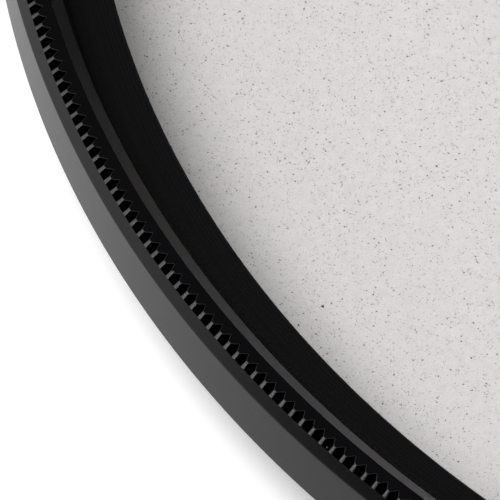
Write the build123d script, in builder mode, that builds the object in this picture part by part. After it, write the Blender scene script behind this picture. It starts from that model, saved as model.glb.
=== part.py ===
# Screw-in lens filter: a slim knurled ring, a round glass and the ring that holds it.
# Millimetres, +Z to the front of the filter, z = 0 on the rear end of the male thread.
import math
import os

from build123d import *

# Filter thread, the same size on the lens side and on the front
thread_diameter = 82.0
thread_pitch = 0.75
thread_depth = 0.5413 * thread_pitch
thread_clearance = 0.05
male_thread_radius = thread_diameter / 2 - thread_clearance
front_bore_radius = thread_diameter / 2 - thread_depth

# Male thread
male_thread_length = 2.2
lead_in = 0.3
relief_width = 0.35
relief_radius = male_thread_radius - thread_depth - thread_clearance

# Ring body
wall_over_thread = 1.1
body_height = 3.1
lower_edge_break = 0.2
front_chamfer = 0.31
outer_radius = thread_diameter / 2 + wall_over_thread
front_level = male_thread_length + body_height

# Straight knurl round the front edge: V notches that run out towards their feet
knurl_height = 0.275
knurl_pitch = 0.495
knurl_set_back = 0.02
crest_taper = 0.16
notch_depth_tip = 0.25
notch_depth_foot = 0.16
notch_half_angle = 38.0
knurl_level = front_level - knurl_height
ledge_radius = outer_radius - front_chamfer
crest_foot_radius = ledge_radius - knurl_set_back
crest_tip_radius = crest_foot_radius - crest_taper
knurl_teeth = round(2 * math.pi * crest_tip_radius / knurl_pitch)

# Front bore
bore_chamfer_width = 0.53
bore_chamfer_depth = 0.365

# Glass seat inside the male thread, and the rear lip that the glass lies on
seat_wall = 1.25
seat_width = 1.1
lip_edge_break = 0.2
seat_radius = male_thread_radius - seat_wall
lip_radius = seat_radius - seat_width

# Glass
glass_thickness = 1.5
glass_edge_bevel = 0.15
glass_clearance = 0.05
glass_radius = seat_radius - glass_clearance

# Retaining ring, screwed down onto the glass in a bore of its own below the front thread
retaining_depth = 1.94
retaining_height = 0.6
retaining_step = 0.43
retaining_recess = 0.05
retaining_clearance = 0.06
retaining_edge_break = 0.06
aperture_overhang = 0.02
aperture_bevel = 0.03
spanner_slot_width = 1.6
spanner_slot_length = 0.9
spanner_slot_depth = 0.35
retaining_bore_radius = front_bore_radius - retaining_step
retaining_radius = retaining_bore_radius - retaining_clearance
aperture_radius = lip_radius - aperture_overhang

# Levels of the stack inside the ring
seat_step_gap = 0.1
retaining_top = front_level - retaining_depth
front_bore_floor = retaining_top + retaining_recess
glass_top = retaining_top - retaining_height
lip_level = glass_top - glass_thickness
seat_step_level = glass_top - seat_step_gap


def knurl_outline(level, crest_radius, notch_depth):
    """Corners of the toothed outline at one level, three to each notch."""
    root_radius = crest_radius - notch_depth
    half_opening = notch_depth * math.tan(math.radians(notch_half_angle))
    corners = []
    for notch in range(knurl_teeth):
        turn = 2 * math.pi * notch / knurl_teeth
        for along, across in ((crest_radius, -half_opening), (root_radius, 0.0), (crest_radius, half_opening)):
            x = along * math.cos(turn) - across * math.sin(turn)
            y = along * math.sin(turn) + across * math.cos(turn)
            corners.append((x, y, level))
    return corners


def knurled_disc():
    """Toothed disc between the feet and the tips of the knurl, with flat notch flanks and crests."""
    foot = knurl_outline(knurl_level, crest_foot_radius, notch_depth_foot)
    tip = knurl_outline(front_level, crest_tip_radius, notch_depth_tip)
    faces = [
        Face(Wire.make_polygon(foot, close=True)),
        Face(Wire.make_polygon(tip, close=True)),
    ]
    for here in range(len(foot)):
        after = (here + 1) % len(foot)
        faces.append(Face(Wire.make_polygon((foot[here], foot[after], tip[after], tip[here]), close=True)))
    return Solid(Shell(faces))


os.makedirs("parts", exist_ok=True)

# Ring
knurl = knurled_disc()

with BuildPart() as filter_ring:
    # Toothed front edge
    add(knurl)

    # Body below the knurl, from the male thread up to the ledge at the feet of the teeth
    with BuildSketch(Plane.XZ):
        with BuildLine():
            Polyline(
                (0, 0),
                (male_thread_radius - lead_in, 0),
                (male_thread_radius, lead_in),
                (male_thread_radius, male_thread_length - relief_width),
                (relief_radius, male_thread_length - relief_width),
                (relief_radius, male_thread_length),
                (outer_radius - lower_edge_break, male_thread_length),
                (outer_radius, male_thread_length + lower_edge_break),
                (outer_radius, knurl_level - front_chamfer),
                (ledge_radius, knurl_level),
                (0, knurl_level),
                close=True,
            )
        make_face()
    revolve(axis=Axis.Z)

    # Stepped bore: rear lip, glass seat, front bore and its chamfer
    with BuildSketch(Plane.XZ):
        with BuildLine():
            Polyline(
                (0, 0),
                (lip_radius + lip_edge_break, 0),
                (lip_radius, lip_edge_break),
                (lip_radius, lip_level),
                (seat_radius, lip_level),
                (seat_radius, seat_step_level),
                (retaining_bore_radius, seat_step_level),
                (retaining_bore_radius, front_bore_floor),
                (front_bore_radius, front_bore_floor),
                (front_bore_radius, front_level - bore_chamfer_depth),
                (front_bore_radius + bore_chamfer_width, front_level),
                (0, front_level),
                close=True,
            )
        make_face()
    revolve(axis=Axis.Z, mode=Mode.SUBTRACT)

filter_ring.part.label = "filter_ring"
export_step(filter_ring.part, "parts/filter_ring.step")

# Glass
with BuildPart() as filter_glass:
    with BuildSketch(Plane.XZ):
        with BuildLine():
            Polyline(
                (0, lip_level),
                (glass_radius - glass_edge_bevel, lip_level),
                (glass_radius, lip_level + glass_edge_bevel),
                (glass_radius, glass_top - glass_edge_bevel),
                (glass_radius - glass_edge_bevel, glass_top),
                (0, glass_top),
                close=True,
            )
        make_face()
    revolve(axis=Axis.Z)

filter_glass.part.label = "filter_glass"
export_step(filter_glass.part, "parts/filter_glass.step")

# Retaining ring
with BuildPart() as retaining_ring:
    with BuildSketch(Plane.XZ):
        with BuildLine():
            Polyline(
                (aperture_radius, glass_top),
                (retaining_radius - retaining_edge_break, glass_top),
                (retaining_radius, glass_top + retaining_edge_break),
                (retaining_radius, retaining_top - retaining_edge_break),
                (retaining_radius - retaining_edge_break, retaining_top),
                (aperture_radius + aperture_bevel, retaining_top),
                (aperture_radius, retaining_top - aperture_bevel),
                close=True,
            )
        make_face()
    revolve(axis=Axis.Z)
    with BuildSketch(Plane.XY.offset(retaining_top)):
        with Locations((0, aperture_radius), (0, -aperture_radius)):
            Rectangle(spanner_slot_width, 2 * spanner_slot_length)
    extrude(amount=-spanner_slot_depth, mode=Mode.SUBTRACT)

retaining_ring.part.label = "retaining_ring"
export_step(retaining_ring.part, "parts/retaining_ring.step")
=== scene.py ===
import math
import random

import bmesh
import bpy
from mathutils import Matrix, Vector


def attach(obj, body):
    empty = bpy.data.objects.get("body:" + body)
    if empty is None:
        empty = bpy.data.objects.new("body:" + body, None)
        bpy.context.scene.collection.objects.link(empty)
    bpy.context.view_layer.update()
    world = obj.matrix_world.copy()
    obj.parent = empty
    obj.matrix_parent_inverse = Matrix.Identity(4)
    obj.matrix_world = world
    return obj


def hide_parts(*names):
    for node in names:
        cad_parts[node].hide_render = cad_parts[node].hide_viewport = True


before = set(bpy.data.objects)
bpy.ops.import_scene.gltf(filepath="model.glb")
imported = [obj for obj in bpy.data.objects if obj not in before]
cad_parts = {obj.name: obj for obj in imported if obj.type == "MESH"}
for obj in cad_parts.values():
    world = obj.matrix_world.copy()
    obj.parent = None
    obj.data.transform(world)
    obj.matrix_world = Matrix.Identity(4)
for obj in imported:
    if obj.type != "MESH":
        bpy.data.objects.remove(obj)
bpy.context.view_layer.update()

MM = 0.001

# Screw threads, in millimetres; a groove's form is points of (share of the pitch, share of the depth)
THREAD_RADIUS = 41.0
PITCH = 0.75
THREAD_DEPTH = 0.406
THREAD_CLEARANCE = 0.05
MALE = THREAD_RADIUS - THREAD_CLEARANCE
MALE_ROOT = MALE - THREAD_DEPTH - THREAD_CLEARANCE
MALE_FORM = ((0.0, 0.0), (0.125, 0.0), (0.4375, 1.0), (0.6875, 1.0), (1.0, 0.0))
MALE_FADE = 0.2
BORE = THREAD_RADIUS - THREAD_DEPTH
BORE_FORM = ((0.0, 0.0), (0.25, 0.0), (0.5625, 1.0), (0.6875, 1.0), (1.0, 0.0))
BORE_FADE_LOW = 0.15
BORE_FADE_HIGH = 0.12
FORM_NUDGE = 1e-9

# Levels over the rear end of the male thread
BODY_FOOT = 2.2
FRONT = BODY_FOOT + 3.1
LEAD_IN = 0.3
MALE_TOP = BODY_FOOT - 0.35
HOLD_TOP = FRONT - 1.94
BORE_FLOOR = HOLD_TOP + 0.05
GLASS_TOP = HOLD_TOP - 0.6
GLASS_LOW = GLASS_TOP - 1.5
SEAT_TOP = GLASS_TOP - 0.1

# Ring
OUTER = THREAD_RADIUS + 1.1
LOWER_BREAK = 0.2
WALL_FOOT = BODY_FOOT + LOWER_BREAK
CHAMFER_FOOT = FRONT - 0.585
LEDGE = OUTER - 0.26
LEDGE_LEVEL = FRONT - 0.17
MOUTH_DEPTH = 0.40
MOUTH_WIDTH = 0.505
FACE_START = BORE + 0.6
SEAT = MALE - 1.25
LIP = SEAT - 1.1
LIP_BREAK = 0.2
HOLD_BORE = BORE - 0.43
WALL_ROUND = 0.04
EDGE_ROUND = 0.03
STEP_ROUND = 0.02
PAINT_MARGIN = 0.012

# Knurl round the front edge; its crests run through points of (depth below the front, depth inside the wall)
TEETH = 528
TIP_BREAK = 0.014
CREST_LINE = ((FRONT - LEDGE_LEVEL, 0.262), (0.115, 0.334), (0.055, 0.413), (TIP_BREAK, 0.467))
ROOT_FOOT = OUTER - 0.43
ROOT_TIP = OUTER - 0.74
NOTCH_HALF = 0.17
NOTCH_SPREAD = 0.015
CREST_BREAK = 0.006
ROOT_FLAT = 0.005
TIP_SET_BACK = 1.2 * TIP_BREAK
TIP_SPREAD = 0.8 * TIP_BREAK
NOTCH_POINTS = 6

# Glass
GLASS = SEAT - 0.05
GLASS_BEVEL = 0.15
GLASS_RIM = 0.6

# Retaining ring
APERTURE = LIP - 0.02
APERTURE_BEVEL = 0.03
HOLD = HOLD_BORE - 0.009
HOLD_TOP_BREAK = 0.01
HOLD_LOW_BREAK = 0.06
SLOT_HALF = 0.8
SLOT_LENGTH = 0.9
SLOT_FLOOR = HOLD_TOP - 0.35
HOLD_STEPS = 264

# Mist grains on the front of the glass; the large ones as (x, y, width)
GRAINS = 84000
GRAIN_SEED = 11
GRAIN_REACH = 38.5
GRAIN_LEAST = 0.0215
GRAIN_MOST = 0.05
GRAIN_FALL = 4.4
GRAIN_LEVEL = GLASS_TOP + 0.001
GRAIN_HEIGHT = 0.004
LARGE_GRAINS = (
    (-26.38, -25.98, 0.090),
    (-28.76, -18.07, 0.062),
    (-23.61, -19.36, 0.064),
    (-27.04, -26.91, 0.062),
)

# Meshes, in metres: how close points are joined, and how far a rounded corner is led in, in reaches
JOIN = 1e-7
COLLAPSE = 1e-8
LEAD = 1.5


class Shape:
    """Points given in millimetres, and faces, built loop by loop round the filter's axis."""

    def __init__(self):
        self.verts = []
        self.faces = []
        self.flat = []
        self.skin = {}

    def add(self, x, y, z):
        self.verts.append((x * MM, y * MM, z * MM))
        return len(self.verts) - 1

    def circle(self, radius, level):
        turns = [2 * math.pi * (i + 0.5) / TEETH for i in range(TEETH)]
        return [self.add(radius * math.cos(t), radius * math.sin(t), level) for t in turns]

    def bridge(self, a, b, flat=False):
        if flat:
            self.flat += range(len(self.faces), len(self.faces) + len(a))
        for i in range(len(a)):
            j = (i + 1) % len(a)
            self.faces.append((a[i], a[j], b[j], b[i]))

    def revolve(self, profile, start=None):
        """Loops along a profile of (radius, level), after a start loop. Returns the first and the last."""
        first = last = start
        for radius, level in profile:
            loop = self.circle(radius, level)
            if last is not None:
                self.bridge(last, loop)
            first = first or loop
            last = loop
        return first, last

    def paint(self, finish, chosen, first=0):
        """Gives a finish to the faces from the first on whose corners are all chosen by (radius, level)."""
        for i in range(first, len(self.faces)):
            corners = [self.verts[v] for v in self.faces[i]]
            if all(chosen(math.hypot(x, y) / MM, z / MM) for x, y, z in corners):
                self.skin[i] = finish

    def piece(self, name, materials, sharp):
        """The object, smooth apart from flat faces and from edges sharper than this angle in degrees."""
        mesh = bpy.data.meshes.new(name)
        mesh.from_pydata(self.verts, [], self.faces)
        work = bmesh.new()
        work.from_mesh(mesh)
        work.faces.ensure_lookup_table()
        for face in work.faces:
            face.smooth = True
        for i in self.flat:
            work.faces[i].smooth = False
        for i, finish in self.skin.items():
            work.faces[i].material_index = finish
        bmesh.ops.remove_doubles(work, verts=work.verts, dist=JOIN)
        bmesh.ops.dissolve_degenerate(work, edges=work.edges, dist=COLLAPSE)
        bmesh.ops.recalc_face_normals(work, faces=work.faces)
        work.to_mesh(mesh)
        work.free()
        smooth = [face.use_smooth for face in mesh.polygons]
        mesh.set_sharp_from_angle(angle=math.radians(sharp))
        mesh.polygons.foreach_set("use_smooth", smooth)
        piece = bpy.data.objects.new(name, mesh)
        bpy.context.collection.objects.link(piece)
        for material in materials:
            mesh.materials.append(material)
        return piece


def rounded(*corners, steps=3):
    """A profile of (radius, level) from corners of (radius, level, reach), rounded as far as they reach."""
    profile = []
    for k, (radius, level, reach) in enumerate(corners):
        if not reach:
            profile.append((radius, level))
            continue
        here = Vector((radius, level))
        back = (Vector(corners[k - 1][:2]) - here).normalized() * reach
        on = (Vector(corners[k + 1][:2]) - here).normalized() * reach
        profile.append(here + back * LEAD)
        for s in range(steps + 1):
            t = s / steps
            profile.append(here + back * (1 - t) ** 2 + on * t ** 2)
        profile.append(here + on * LEAD)
    return profile


# Shader nodes
WHITE = (1, 1, 1, 1)


def node_material(name):
    material = bpy.data.materials.new(name)
    material.use_nodes = True
    tree = material.node_tree
    tree.nodes.clear()
    return material, tree


def put(tree, kind, inputs=None, **settings):
    """A node whose inputs are constants or sockets of other nodes."""
    node = tree.nodes.new(kind)
    for key, value in settings.items():
        setattr(node, key, value)
    for key, value in (inputs or {}).items():
        if isinstance(value, bpy.types.NodeSocket):
            tree.links.new(value, node.inputs[key])
        else:
            node.inputs[key].default_value = value
    return node


def ramp(tree, factor, stops):
    """Colours along a factor; each stop is (place, grey level or colour)."""
    node = put(tree, "ShaderNodeValToRGB", {"Fac": factor})
    for band, (place, level) in zip(node.color_ramp.elements, stops):
        band.position = place
        band.color = (level, level, level, 1) if isinstance(level, float) else (*level, 1)
    return node.outputs["Color"]


def math_node(tree, operation, *values):
    return put(tree, "ShaderNodeMath", dict(enumerate(values)), operation=operation).outputs[0]


def blend_colours(tree, factor, a, b):
    return put(tree, "ShaderNodeMix", {0: factor, 6: a, 7: b}, data_type="RGBA").outputs[2]


def remap(tree, value, span, levels=(0.0, 1.0), **settings):
    """A value that goes from one level to the other over a span."""
    inputs = {"Value": value}
    for key, end in zip(("From Min", "From Max", "To Min", "To Max"), (*span, *levels)):
        inputs[key] = end
    return put(tree, "ShaderNodeMapRange", inputs, **settings).outputs[0]


def place_on_part(tree):
    return put(tree, "ShaderNodeTexCoord").outputs["Object"]


def surface(tree, shader):
    put(tree, "ShaderNodeOutputMaterial", {"Surface": shader.outputs[0]})


# Metals
BUMP_DEPTH = 0.00001
DUST_PICK = 0.965
DUST_SIZE = 0.085
DUST_COLOUR = (0.11, 0.11, 0.105, 1)
BLUE_BLACK_DARK = (0.0010, 0.0010, 0.0014)
BLUE_BLACK_LIGHT = (0.0020, 0.0020, 0.0028)
TURNED_GRAIN = 0.35
TURNED_BUMP = 0.05


def anodised(name, dark, light, rough, spread, grain, ior=1.5):
    """Black anodised aluminium: a fine blasted grain, faint cloudy patches and a little dust."""
    material, tree = node_material(name)
    place = place_on_part(tree)
    fine_inputs = {"Vector": place, "Scale": 14000.0, "Detail": 2.0, "Roughness": 0.6}
    fine = put(tree, "ShaderNodeTexNoise", fine_inputs).outputs["Fac"]
    cloud_inputs = {"Vector": place, "Scale": 900.0, "Detail": 3.0, "Roughness": 0.55}
    cloud = put(tree, "ShaderNodeTexNoise", cloud_inputs).outputs["Fac"]
    dust = put(tree, "ShaderNodeTexVoronoi", {"Vector": place, "Scale": 2400.0, "Randomness": 1.0})
    draw = put(tree, "ShaderNodeSeparateColor", {0: dust.outputs["Color"]}).outputs[0]
    picked = math_node(tree, "GREATER_THAN", draw, DUST_PICK)
    dot = math_node(tree, "LESS_THAN", dust.outputs["Distance"], DUST_SIZE)
    speck = math_node(tree, "MULTIPLY", picked, dot)
    tone = ramp(tree, cloud, ((0.3, dark), (0.72, light)))
    gloss = remap(tree, fine, (0.25, 0.75), (rough - spread, rough + spread))
    bump = put(tree, "ShaderNodeBump", {"Strength": grain, "Distance": BUMP_DEPTH, "Height": fine})
    metal = {
        "Base Color": blend_colours(tree, speck, tone, DUST_COLOUR),
        "Roughness": gloss,
        "IOR": ior,
        "Normal": bump.outputs[0],
    }
    surface(tree, put(tree, "ShaderNodeBsdfPrincipled", metal))
    return material


def turned(name, dark, light, rough):
    """Black anodised aluminium with the fine rings of a lathe tool round the axis."""
    material, tree = node_material(name)
    place = place_on_part(tree)
    split = put(tree, "ShaderNodeSeparateXYZ", {0: place})
    flat = put(tree, "ShaderNodeCombineXYZ", {0: split.outputs[0], 1: split.outputs[1]})
    radius = put(tree, "ShaderNodeVectorMath", {0: flat.outputs[0]}, operation="LENGTH").outputs["Value"]
    line_inputs = {"W": radius, "Scale": 16000.0, "Detail": 2.0}
    lines = put(tree, "ShaderNodeTexNoise", line_inputs, noise_dimensions="1D").outputs[0]
    grain = put(tree, "ShaderNodeTexNoise", {"Vector": place, "Scale": 9000.0, "Detail": 2.0}).outputs["Fac"]
    marks = math_node(tree, "ADD", lines, math_node(tree, "MULTIPLY", grain, TURNED_GRAIN))
    bump = put(tree, "ShaderNodeBump", {"Strength": TURNED_BUMP, "Distance": BUMP_DEPTH, "Height": marks})
    metal = {
        "Base Color": ramp(tree, marks, ((0.45, dark), (0.85, light))),
        "Roughness": remap(tree, marks, (0.4, 0.95), (rough - 0.03, rough + 0.04)),
        "IOR": 1.5,
        "Normal": bump.outputs[0],
    }
    surface(tree, put(tree, "ShaderNodeBsdfPrincipled", metal))
    return material


# Fine mist grains: (cells to the metre, share of cells with a grain, largest reach, shift, weight)
GRAIN_LAYERS = (
    (9000.0, 0.55, 0.17, 0.013, 0.75),
    (5000.0, 0.42, 0.13, 0.047, 0.9),
    (1500.0, 0.4, 0.05, 0.081, 1.0),
    (300.0, 0.35, 0.014, 0.029, 1.0),
)
SHIFT_WAYS = (1.0, 0.7, 0.3)
LEAST_REACH = 0.4
LEAST_STRENGTH = 0.3
CORE = 0.6
GRAIN_COLOUR = (0.02, 0.02, 0.02, 1)
GLASS_PALE = ((0.3, (0.571, 0.560, 0.551)), (0.7, (0.608, 0.596, 0.587)))


def specks(tree, place, scale, share, size, shift):
    """A mask of round grains: one in each picked cell, of differing size and strength."""
    offset = [shift * way for way in SHIFT_WAYS]
    moved = put(tree, "ShaderNodeVectorMath", {0: place, 1: offset}, operation="ADD").outputs[0]
    cell_inputs = {"Vector": moved, "Scale": scale, "Randomness": 1.0}
    cells = put(tree, "ShaderNodeTexVoronoi", cell_inputs, voronoi_dimensions="2D")
    tones = put(tree, "ShaderNodeSeparateColor", {0: cells.outputs["Color"]}).outputs
    picked = math_node(tree, "LESS_THAN", tones[0], share)
    reach = math_node(tree, "MULTIPLY_ADD", tones[1], size * (1 - LEAST_REACH), size * LEAST_REACH)
    core = math_node(tree, "MULTIPLY", reach, CORE)
    inside = remap(tree, cells.outputs["Distance"], (reach, core))
    strength = math_node(tree, "MULTIPLY_ADD", tones[2], 1 - LEAST_STRENGTH, LEAST_STRENGTH)
    return math_node(tree, "MULTIPLY", math_node(tree, "MULTIPLY", picked, inside), strength)


def mist_glass(name):
    """Clear glass with a fine scatter of dark grains in its front, which lets lamp light through."""
    material, tree = node_material(name)
    place = place_on_part(tree)
    height = put(tree, "ShaderNodeSeparateXYZ", {0: place}).outputs[2]
    upper = math_node(tree, "GREATER_THAN", height, 0.5 * (GLASS_LOW + GLASS_TOP) * MM)
    grains = 0.0
    for *pattern, weight in GRAIN_LAYERS:
        layer = math_node(tree, "MULTIPLY", specks(tree, place, *pattern), weight)
        grains = math_node(tree, "MAXIMUM", layer, grains)
    grains = math_node(tree, "MULTIPLY", grains, upper)
    cloud = put(tree, "ShaderNodeTexNoise", {"Vector": place, "Scale": 3000.0, "Detail": 3.0})
    pale = ramp(tree, cloud.outputs["Fac"], GLASS_PALE)
    glass = {
        "Base Color": blend_colours(tree, grains, pale, GRAIN_COLOUR),
        "Roughness": 0.0,
        "IOR": 1.5,
        "Transmission Weight": 0.97,
    }
    shader = put(tree, "ShaderNodeBsdfPrincipled", glass)
    clear = put(tree, "ShaderNodeBsdfTransparent", {"Color": (0.95, 0.95, 0.95, 1)})
    shadow = put(tree, "ShaderNodeLightPath").outputs["Is Shadow Ray"]
    surface(tree, put(tree, "ShaderNodeMixShader", {0: shadow, 1: shader.outputs[0], 2: clear.outputs[0]}))
    return material


def dark_grain(name):
    """The dull dark stuff of the larger grains."""
    material, tree = node_material(name)
    dull = {"Base Color": GRAIN_COLOUR, "Roughness": 0.8, "IOR": 1.1}
    surface(tree, put(tree, "ShaderNodeBsdfPrincipled", dull))
    return material


# Knurl round the front edge
def knurl_loop(shape, level, crest, root, half):
    """Six points to each notch: crest edge, flank, root, root, flank, crest edge."""
    slope = half / (crest - root)
    across = (
        (crest, -half - CREST_BREAK),
        (crest - CREST_BREAK, -half + CREST_BREAK * slope),
        (root + ROOT_FLAT, -ROOT_FLAT * slope),
        (root + ROOT_FLAT, ROOT_FLAT * slope),
        (crest - CREST_BREAK, half - CREST_BREAK * slope),
        (crest, half + CREST_BREAK),
    )
    loop = []
    for i in range(TEETH):
        turn = 2 * math.pi * i / TEETH
        c, s = math.cos(turn), math.sin(turn)
        loop += [shape.add(r * c - a * s, r * s + a * c, level) for r, a in across]
    return loop


def knurl_loops(shape):
    """Toothed loops from the feet of the teeth to their tips, and the broken edge on the front face."""
    loops = []
    for below, inside_wall in CREST_LINE:
        level = FRONT - below
        crest = OUTER - inside_wall
        rise = (level - LEDGE_LEVEL) / (FRONT - LEDGE_LEVEL)
        root = ROOT_FOOT + (ROOT_TIP - ROOT_FOOT) * rise
        half = NOTCH_HALF + NOTCH_SPREAD * rise
        loops.append(knurl_loop(shape, level, crest, root, half))
    loops.append(knurl_loop(shape, FRONT, crest - TIP_SET_BACK, root - TIP_SET_BACK, half + TIP_SPREAD))
    return loops


def fill_notches(shape, circle, loop):
    """Flat faces between a plain circle and a toothed loop: by turns one at a notch and one at a crest."""
    shape.flat += range(len(shape.faces), len(shape.faces) + 2 * TEETH)
    for i in range(TEETH):
        start = NOTCH_POINTS * i
        after = (start + NOTCH_POINTS) % len(loop)
        notch = loop[start:start + NOTCH_POINTS]
        shape.faces.append((circle[i - 1], circle[i], *reversed(notch)))
        shape.faces.append((circle[i], loop[after], notch[-1]))


# Screw threads
def form_depth(form, u):
    u -= math.floor(u)
    for (u0, g0), (u1, g1) in zip(form, form[1:]):
        if u <= u1:
            return g0 + (g1 - g0) * (u - u0) / (u1 - u0)
    return 0.0


def thread(shape, form, radius, depth, low, high, fade_low, fade_high=0.0):
    """A helical groove in a wall from low to high, outward where depth is positive. Returns its end loops."""
    kinks = [u for u, _ in form[:-1]]
    turns = math.ceil((high - low) / PITCH) + 2
    rows = [n + u for n in range(-1, turns) for u in kinks]
    columns = []
    for i in range(TEETH):
        around = (i + 0.5) / TEETH
        turn = 2 * math.pi * around
        column = []
        for row in rows:
            level = min(max(low + PITCH * (row + around), low), high)
            g = form_depth(form, (level - low) / PITCH - around + FORM_NUDGE)
            g *= min((level - low) / fade_low, 1.0)
            if fade_high:
                g *= min((high - level) / fade_high, 1.0)
            r = radius + depth * g
            column.append(shape.add(r * math.cos(turn), r * math.sin(turn), level))
        columns.append(column)
    last = len(rows) - 1
    for i in range(TEETH):
        here = columns[i]
        after = columns[(i + 1) % TEETH]
        # Where the last column meets the first, the rows are one turn apart
        shift = len(kinks) if i == TEETH - 1 else 0
        for k in range(last):
            near = after[min(k + shift, last)]
            far = after[min(k + 1 + shift, last)]
            shape.faces.append((here[k], near, far, here[k + 1]))
        for k in range(shift):
            shape.faces.append((here[0], after[k], after[k + 1]))
    return [c[0] for c in columns], [c[-1] for c in columns]


# Ring, with each surface's finish in the order of its materials; the notch material is painted shade and the
# edge material a painted highlight
ON_FACE, ON_WALL, ON_NOTCH_PAINTED_SHADE, ON_CHAMFER, ON_MOUTH, ON_CREST, ON_EDGE_PAINTED_HIGHLIGHT = range(7)
BAND_FINISHES_AND_SHADE = (ON_FACE, ON_NOTCH_PAINTED_SHADE, ON_NOTCH_PAINTED_SHADE, ON_NOTCH_PAINTED_SHADE, ON_FACE, ON_CREST)
TIP_FINISHES_SHADE_AND_HIGHLIGHT = (ON_EDGE_PAINTED_HIGHLIGHT, ON_EDGE_PAINTED_HIGHLIGHT, ON_NOTCH_PAINTED_SHADE, ON_EDGE_PAINTED_HIGHLIGHT, ON_EDGE_PAINTED_HIGHLIGHT, ON_CREST)
ring_metals = (
    anodised("black_anodised", BLUE_BLACK_DARK, BLUE_BLACK_LIGHT, rough=0.17, spread=0.003, grain=0.005),
    anodised("black_blasted", 0.001, 0.002, rough=0.295, spread=0.025, grain=0.20, ior=1.26),
    # Notch material: darker and much less glossy than the rest of the ring, painted shade in the notches
    anodised("black_notch_painted_shade", 0.0002, 0.0004, rough=0.30, spread=0.02, grain=0.02, ior=1.04),
    anodised("black_chamfer", 0.001, 0.002, rough=0.19, spread=0.02, grain=0.03, ior=1.37),
    anodised("black_mouth", 0.001, 0.002, rough=0.29, spread=0.004, grain=0.005),
    anodised("black_crest", 0.001, 0.002, rough=0.20, spread=0.01, grain=0.005, ior=1.9),
    # Edge material: about ten times lighter than the rest of the ring, a painted highlight along the broken
    # edges of the notches
    anodised("black_edge_painted_highlight", 0.018, 0.028, rough=0.40, spread=0.01, grain=0.005),
)
ring = Shape()

# Outer chamfer, wall, lower edge and the relief above the male thread
outside = rounded(
    (LEDGE, LEDGE_LEVEL, 0),
    (OUTER, CHAMFER_FOOT, EDGE_ROUND),
    (OUTER, WALL_FOOT, WALL_ROUND),
    (OUTER - LOWER_BREAK, BODY_FOOT, WALL_ROUND),
    (MALE_ROOT, BODY_FOOT, 0),
    (MALE_ROOT, MALE_TOP, 0),
)
ledge_loop, relief_loop = ring.revolve(outside)
ring.paint(ON_CHAMFER, lambda radius, level: level > CHAMFER_FOOT)
ring.paint(ON_WALL, lambda radius, level: radius > OUTER - PAINT_MARGIN)

# Male thread, rear end, lip, glass seat and the retaining ring's bore
male_low, male_high = thread(ring, MALE_FORM, MALE, MALE_ROOT - MALE, LEAD_IN, MALE_TOP, MALE_FADE)
ring.bridge(relief_loop, male_high)
inside = rounded(
    (MALE - LEAD_IN, 0.0, 0),
    (LIP + LIP_BREAK, 0.0, EDGE_ROUND),
    (LIP, LIP_BREAK, EDGE_ROUND),
    (LIP, GLASS_LOW, STEP_ROUND),
    (SEAT, GLASS_LOW, 0),
    (SEAT, SEAT_TOP, STEP_ROUND),
    (HOLD_BORE, SEAT_TOP, 0),
    (HOLD_BORE, BORE_FLOOR, STEP_ROUND),
    (BORE, BORE_FLOOR, 0),
)
_, floor_loop = ring.revolve(inside, male_low)

# Front thread, inner chamfer and the start of the front face
mouth_foot = FRONT - MOUTH_DEPTH
bore_low, bore_high = thread(
    ring, BORE_FORM, BORE, THREAD_DEPTH, BORE_FLOOR, mouth_foot, BORE_FADE_LOW, BORE_FADE_HIGH
)
ring.bridge(floor_loop, bore_low)
mouth = rounded((BORE, mouth_foot, 0), (BORE + MOUTH_WIDTH, FRONT, EDGE_ROUND), (FACE_START, FRONT, 0))
first = len(ring.faces)
_, face_loop = ring.revolve(mouth[1:], bore_high)
ring.paint(ON_MOUTH, lambda radius, level: level < FRONT - PAINT_MARGIN, first)

# Teeth, from the ledge at their feet to the front face
loops = knurl_loops(ring)
first = len(ring.faces)
fill_notches(ring, ledge_loop, loops[0])
# The notch floors at the ledge get the notch material, painted shade
for i in range(first, len(ring.faces), 2):
    ring.skin[i] = ON_NOTCH_PAINTED_SHADE
# At the tips the broken edges get a painted highlight; in every band the notch flanks and roots get painted
# shade
for lower, upper in zip(loops, loops[1:]):
    at_tips = upper is loops[-1]
    finishes_and_painted_light = TIP_FINISHES_SHADE_AND_HIGHLIGHT if at_tips else BAND_FINISHES_AND_SHADE
    first = len(ring.faces)
    ring.bridge(lower, upper, flat=at_tips)
    for i in range(first, len(ring.faces)):
        ring.skin[i] = finishes_and_painted_light[(i - first) % NOTCH_POINTS]
fill_notches(ring, face_loop, loops[-1])
filter_ring = ring.piece("filter_ring_body", ring_metals, sharp=32)
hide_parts("filter_ring")
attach(filter_ring, "root")

# Retaining ring: its section, and the section in a spanner slot, which ends at the doubled point
slot_end = APERTURE + SLOT_LENGTH
full = [
    (APERTURE, GLASS_TOP),
    (APERTURE, HOLD_TOP - APERTURE_BEVEL),
    (APERTURE + APERTURE_BEVEL, HOLD_TOP),
    (slot_end, HOLD_TOP),
    (slot_end, HOLD_TOP),
    (HOLD - HOLD_TOP_BREAK, HOLD_TOP),
    (HOLD, HOLD_TOP - HOLD_TOP_BREAK),
    (HOLD, GLASS_TOP + HOLD_LOW_BREAK),
    (HOLD - HOLD_LOW_BREAK, GLASS_TOP),
]
cut = list(full)
for k in (1, 2, 3):
    cut[k] = (full[k][0], SLOT_FLOOR)
hold = Shape()


def hold_column(turn, profile, offset=None):
    """One section of the retaining ring, or with an offset the straight wall of a slot beside that turn."""
    column = []
    for r, z in profile:
        t = turn if offset is None else turn + math.asin(offset / r)
        column.append(hold.add(r * math.cos(t), r * math.sin(t), z))
    return column


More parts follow.
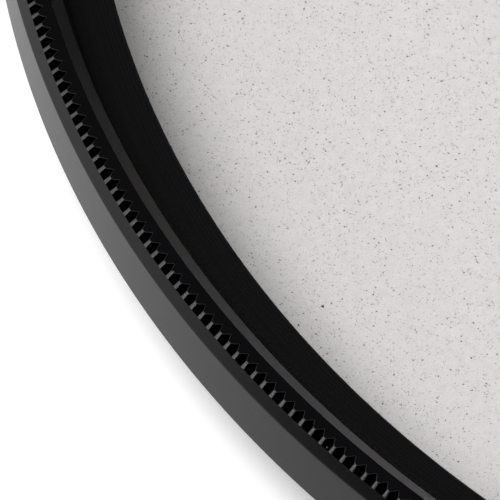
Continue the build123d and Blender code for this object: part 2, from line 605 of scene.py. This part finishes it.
slot_turn = math.asin(SLOT_HALF / APERTURE)
hold_columns = []
for middle in (math.pi / 2, math.pi / 2 + math.pi):
    hold_columns += [hold_column(middle, profile, -SLOT_HALF) for profile in (full, cut)]
    hold_columns += [hold_column(middle + slot_turn * k / 2, cut) for k in (-1, 0, 1)]
    hold_columns += [hold_column(middle, profile, SLOT_HALF) for profile in (cut, full)]
    for k in range(1, HOLD_STEPS):
        along = (math.pi - 2 * slot_turn) * k / HOLD_STEPS
        hold_columns.append(hold_column(middle + slot_turn + along, full))
for i in range(len(hold_columns)):
    hold.bridge(hold_columns[i - 1], hold_columns[i])
hold_metal = turned("black_turned", BLUE_BLACK_DARK, BLUE_BLACK_LIGHT, rough=0.26)
retaining_ring = hold.piece("retaining_ring_body", (hold_metal,), sharp=30)
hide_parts("retaining_ring")
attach(retaining_ring, "root")

# Glass
disc = Shape()
rim = rounded(
    (GLASS - GLASS_RIM, GLASS_LOW, 0),
    (GLASS - GLASS_BEVEL, GLASS_LOW, EDGE_ROUND),
    (GLASS, GLASS_LOW + GLASS_BEVEL, EDGE_ROUND),
    (GLASS, GLASS_TOP - GLASS_BEVEL, EDGE_ROUND),
    (GLASS - GLASS_BEVEL, GLASS_TOP, EDGE_ROUND),
    (GLASS - GLASS_RIM, GLASS_TOP, 0),
)
under, over = disc.revolve(rim)
disc.faces.append(tuple(reversed(under)))
disc.faces.append(tuple(over))
filter_glass = disc.piece("filter_glass_disc", (mist_glass("mist_glass"),), sharp=25)
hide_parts("filter_glass")
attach(filter_glass, "root")

# Mist grains: many tiny ones and a few larger
scatter = random.Random(GRAIN_SEED)
left_grains = Shape()
right_grains = Shape()


def grain(x, y, width):
    """A low closed pyramid on a triangle whose area is that of a square of this width."""
    side = left_grains if x < 0 else right_grains
    spin = math.pi / 2 * scatter.random()
    reach = width * math.sqrt(4 / (3 * math.sqrt(3)))
    turns = [spin + q * 2 * math.pi / 3 for q in range(3)]
    a, b, c = (side.add(x + reach * math.cos(t), y + reach * math.sin(t), GRAIN_LEVEL) for t in turns)
    tip = side.add(x, y, GRAIN_LEVEL + GRAIN_HEIGHT)
    side.faces += [(c, b, a), (a, b, tip), (b, c, tip), (c, a, tip)]


for _ in range(GRAINS):
    far = GRAIN_REACH * math.sqrt(scatter.random())
    turn = 2 * math.pi * scatter.random()
    width = min(GRAIN_LEAST * (1 - scatter.random()) ** (-1 / GRAIN_FALL), GRAIN_MOST)
    grain(far * math.cos(turn), far * math.sin(turn), width)
for x, y, width in LARGE_GRAINS:
    grain(x, y, width)
grain_material = dark_grain("mist_grain")
for name, side in (("mist_grains_left", left_grains), ("mist_grains_right", right_grains)):
    mist_grains = side.piece(name, (grain_material,), sharp=75)
    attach(mist_grains, "root")

# Floor: pale paper, a little lifted to white where it is seen, and clear from below
FLOOR_HALF = 4.0
FLOOR_LIFT = 0.27


def floor_paper(name):
    material, tree = node_material(name)
    path = put(tree, "ShaderNodeLightPath").outputs
    paper = put(tree, "ShaderNodeBsdfDiffuse", {"Color": (0.86, 0.86, 0.86, 1)})
    beyond = math_node(tree, "MAXIMUM", path["Is Glossy Ray"], path["Is Transmission Ray"])
    seen = math_node(tree, "MAXIMUM", path["Is Camera Ray"], beyond)
    strength = math_node(tree, "MULTIPLY", seen, FLOOR_LIFT)
    lift = put(tree, "ShaderNodeEmission", {"Color": WHITE, "Strength": strength})
    lit = put(tree, "ShaderNodeAddShader", {0: paper.outputs[0], 1: lift.outputs[0]})
    through = put(tree, "ShaderNodeBsdfTransparent")
    back = put(tree, "ShaderNodeNewGeometry").outputs["Backfacing"]
    surface(tree, put(tree, "ShaderNodeMixShader", {0: back, 1: lit.outputs[0], 2: through.outputs[0]}))
    return material


floor_mesh = bpy.data.meshes.new("floor")
floor_corners = [(x * FLOOR_HALF, y * FLOOR_HALF, 0) for x, y in ((-1, -1), (1, -1), (1, 1), (-1, 1))]
floor_mesh.from_pydata(floor_corners, [], [(0, 1, 2, 3)])
floor_mesh.materials.append(floor_paper("floor_paper"))
floor = bpy.data.objects.new("floor", floor_mesh)
bpy.context.collection.objects.link(floor)

# Soft studio light: a broad soft window on the left, dim elsewhere, and one broad lamp high on the left
WINDOW_AIM = (-0.97, 0.25, 0.0)
WINDOW_SIDE = (0.55, 1.0)
WINDOW_FOOT = (0.1, 0.4)
WINDOW_TOP = (0.9, 0.5)
SURROUND = 0.055
LAMP_PLACE = Vector((-0.67, -0.05, 1.05))

world = bpy.data.worlds.new("studio")
bpy.context.scene.world = world
world.use_nodes = True
tree = world.node_tree
tree.nodes.clear()
direction = put(tree, "ShaderNodeTexCoord").outputs["Generated"]
height = put(tree, "ShaderNodeSeparateXYZ", {0: direction}).outputs[2]
aim_inputs = {0: direction, 1: WINDOW_AIM}
aside = put(tree, "ShaderNodeVectorMath", aim_inputs, operation="DOT_PRODUCT").outputs["Value"]
over_table = remap(tree, height, WINDOW_FOOT, interpolation_type="SMOOTHSTEP")
under_top = remap(tree, height, WINDOW_TOP, interpolation_type="SMOOTHSTEP")
leftward = remap(tree, aside, WINDOW_SIDE, interpolation_type="SMOOTHSTEP")
window = math_node(tree, "MULTIPLY", math_node(tree, "MULTIPLY", over_table, under_top), leftward)
strength = math_node(tree, "MAXIMUM", window, SURROUND)
glow = put(tree, "ShaderNodeBackground", {"Color": WHITE, "Strength": strength})
plain = put(tree, "ShaderNodeBackground", {"Color": WHITE, "Strength": 1.0})
seen = put(tree, "ShaderNodeLightPath").outputs["Is Camera Ray"]
sky = put(tree, "ShaderNodeMixShader", {0: seen, 1: glow.outputs[0], 2: plain.outputs[0]})
put(tree, "ShaderNodeOutputWorld", {"Surface": sky.outputs[0]})

lamp = bpy.data.lights.new("key", "AREA")
lamp.shape = "DISK"
lamp.size = 0.85
lamp.energy = 15.4
holder = bpy.data.objects.new("key", lamp)
bpy.context.collection.objects.link(holder)
holder.location = LAMP_PLACE
holder.rotation_mode = "QUATERNION"
holder.rotation_quaternion = (-LAMP_PLACE).to_track_quat("-Z", "Y")
holder.visible_camera = False
holder.visible_transmission = False

# Camera at the photograph's place: distances in ring radii, angles in degrees, and the turn of the teeth
CAMERA_BACK = 5.36669
CAMERA_RISE = 6.37896
CAMERA_YAW = -8.2226
CAMERA_PITCH = 52.7600
CAMERA_ROLL = 2.5612
TEETH_TURN = -0.00144

yaw, pitch, roll = (math.radians(angle) for angle in (CAMERA_YAW, CAMERA_PITCH, CAMERA_ROLL))
forward = Vector((math.sin(yaw) * math.cos(pitch), math.cos(yaw) * math.cos(pitch), -math.sin(pitch)))
right = Vector((math.cos(yaw), -math.sin(yaw), 0))
up = right.cross(forward)
across = right * math.cos(roll) + up * math.sin(roll)
upright = -right * math.sin(roll) + up * math.cos(roll)
axes = Matrix((across, upright, -forward)).transposed()
stand = Vector((0, -CAMERA_BACK * OUTER, CAMERA_RISE * OUTER + WALL_FOOT)) * MM
turned_by = Matrix.Rotation(TEETH_TURN, 3, "Z")
lens = bpy.data.cameras.new("camera")
lens.sensor_width = 36.0
lens.lens = 720.0
lens.clip_start = 0.01
lens.clip_end = 20.0
camera = bpy.data.objects.new("camera", lens)
bpy.context.collection.objects.link(camera)
camera.matrix_world = Matrix.Translation(turned_by @ stand) @ (turned_by @ axes).to_4x4()
bpy.context.scene.camera = camera

bpy.context.scene.view_settings.view_transform = "Standard"
